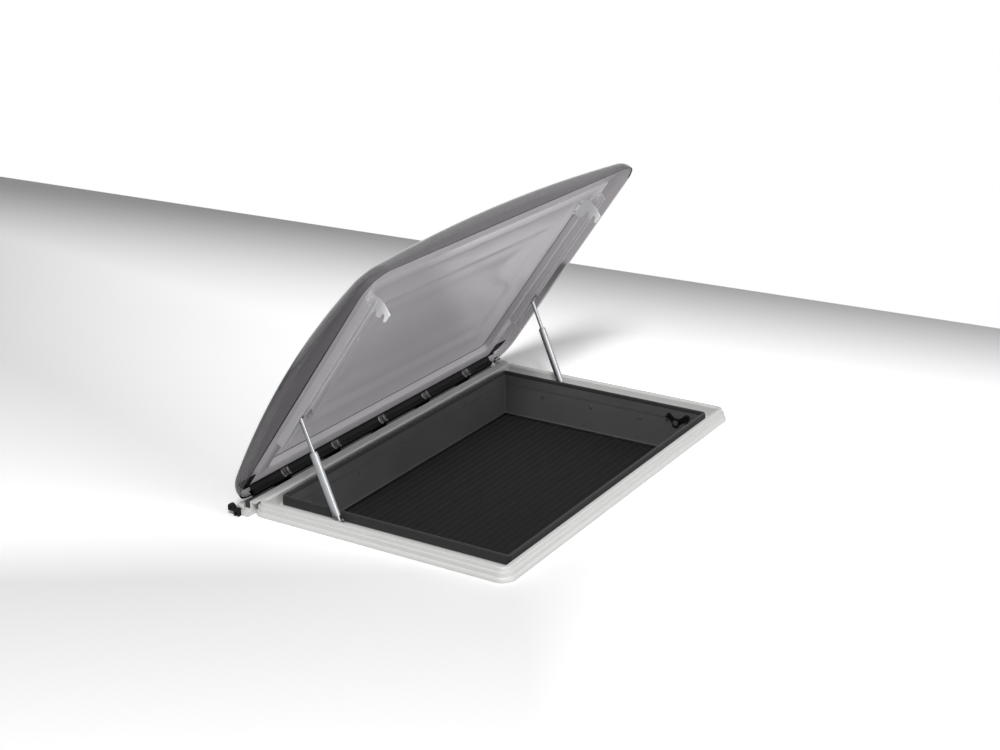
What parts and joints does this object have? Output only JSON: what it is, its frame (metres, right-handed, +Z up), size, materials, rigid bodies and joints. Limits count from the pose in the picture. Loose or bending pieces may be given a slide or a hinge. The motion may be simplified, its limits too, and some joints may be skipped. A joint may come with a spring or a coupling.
{
  "type": "caravan roof window",
  "caption": "Caravan roof window with a tinted double dome on a long-side hinge, held open by sliding stays over a white frame with a dark lined well and pleated blinds.",
  "frame": {"origin": "centre of the four fixing holes, on the bottom face of the interior trim", "axes": "+Z up out of the roof; +X along the hinge; +Y from the free edge of the opening to the hinge"},
  "size_m": [1.143, 0.7696, 0.775],
  "materials": {
    "white_plastic": "satin",
    "dark_plastic": "matte",
    "black_plastic": "matte",
    "rubber": "matte",
    "tinted_acrylic": "gloss",
    "clear_acrylic": "gloss",
    "grey_plastic": "satin",
    "steel": "polished",
    "satin_steel": "satin",
    "aluminium": "satin",
    "dark_fabric": "matte",
    "net": "matte"
  },
  "bodies": {
    "frame": {"outer_frame": "white_plastic", "roof_seal": "rubber", "lid_seal": "rubber", "upper_lining": "dark_plastic", "inner_frame": "dark_plastic", "interior_trim": "white_plastic", "frame_screws": "steel", "trim_screws": "steel", "blind_guide_left": "aluminium", "blind_guide_right": "aluminium", "blackout_cassette": "dark_plastic", "flyscreen_cassette": "dark_plastic", "hinge_base": "black_plastic", "hinge_rod": "steel", "hinge_end_caps": "black_plastic", "stay_brackets": "steel", "foot_pins": "steel", "latch_axles": "steel", "blackout_fabric": "dark_fabric", "flyscreen_net": "net"},
    "lid": {"outer_dome": "tinted_acrylic", "inner_pane": "clear_acrylic", "glazing_bead": "rubber", "hinge_profile": "black_plastic", "pane_clips": "clear_acrylic", "side_rail_left": "grey_plastic", "side_rail_right": "grey_plastic", "rail_catches": "grey_plastic", "rail_screws": "steel", "claw_left": "white_plastic", "claw_right": "white_plastic", "claw_screws": "steel"},
    "blackout_blind": {"blackout_bar": "black_plastic"},
    "flyscreen": {"flyscreen_bar": "white_plastic"},
    "latch_left": {"latch_lever_left": "black_plastic"},
    "latch_right": {"latch_lever_right": "black_plastic"},
    "stay_left": {"stay_tube_left": "satin_steel", "stay_rod_left": "steel", "stay_axle_left": "steel", "stay_sliders_left": "white_plastic"},
    "stay_right": {"stay_tube_right": "satin_steel", "stay_rod_right": "steel", "stay_axle_right": "steel", "stay_sliders_right": "white_plastic"}
  },
  "joints": [
    {"name": "lid_hinge", "type": "hinge", "parent": "frame", "child": "lid", "pos_m": [0, 0.385, 0.14], "axis": [-1, 0, 0], "range_deg": [-55, 0]},
    {"name": "stay_pivot_left", "type": "hinge", "parent": "frame", "child": "stay_left", "pos_m": [-0.4889, 0.132, 0.132], "axis": [-1, 0, 0], "range_deg": [-109.8, 0]},
    {"name": "stay_pivot_right", "type": "hinge", "parent": "frame", "child": "stay_right", "pos_m": [0.4889, 0.132, 0.132], "axis": [-1, 0, 0], "range_deg": [-109.8, 0]},
    {"name": "latch_turn_left", "type": "hinge", "parent": "frame", "child": "latch_left", "pos_m": [-0.4627, -0.228, 0.1095], "axis": [1, 0, 0], "range_deg": [0, 50]},
    {"name": "latch_turn_right", "type": "hinge", "parent": "frame", "child": "latch_right", "pos_m": [0.4627, -0.228, 0.1095], "axis": [1, 0, 0], "range_deg": [0, 50]},
    {"name": "blackout_slide", "type": "slide", "parent": "frame", "child": "blackout_blind", "axis": [0, 1, 0], "range_m": [0, 0.565], "deforming": ["blackout_fabric"]},
    {"name": "flyscreen_slide", "type": "slide", "parent": "frame", "child": "flyscreen", "axis": [0, -1, 0], "range_m": [0, 0.565], "deforming": ["flyscreen_net"]}
  ],
  "couplings": [
    {"joint": "stay_pivot_left", "follows": "lid_hinge", "ratio": 1.9927},
    {"joint": "stay_pivot_right", "follows": "lid_hinge", "ratio": 1.9927}
  ]
}
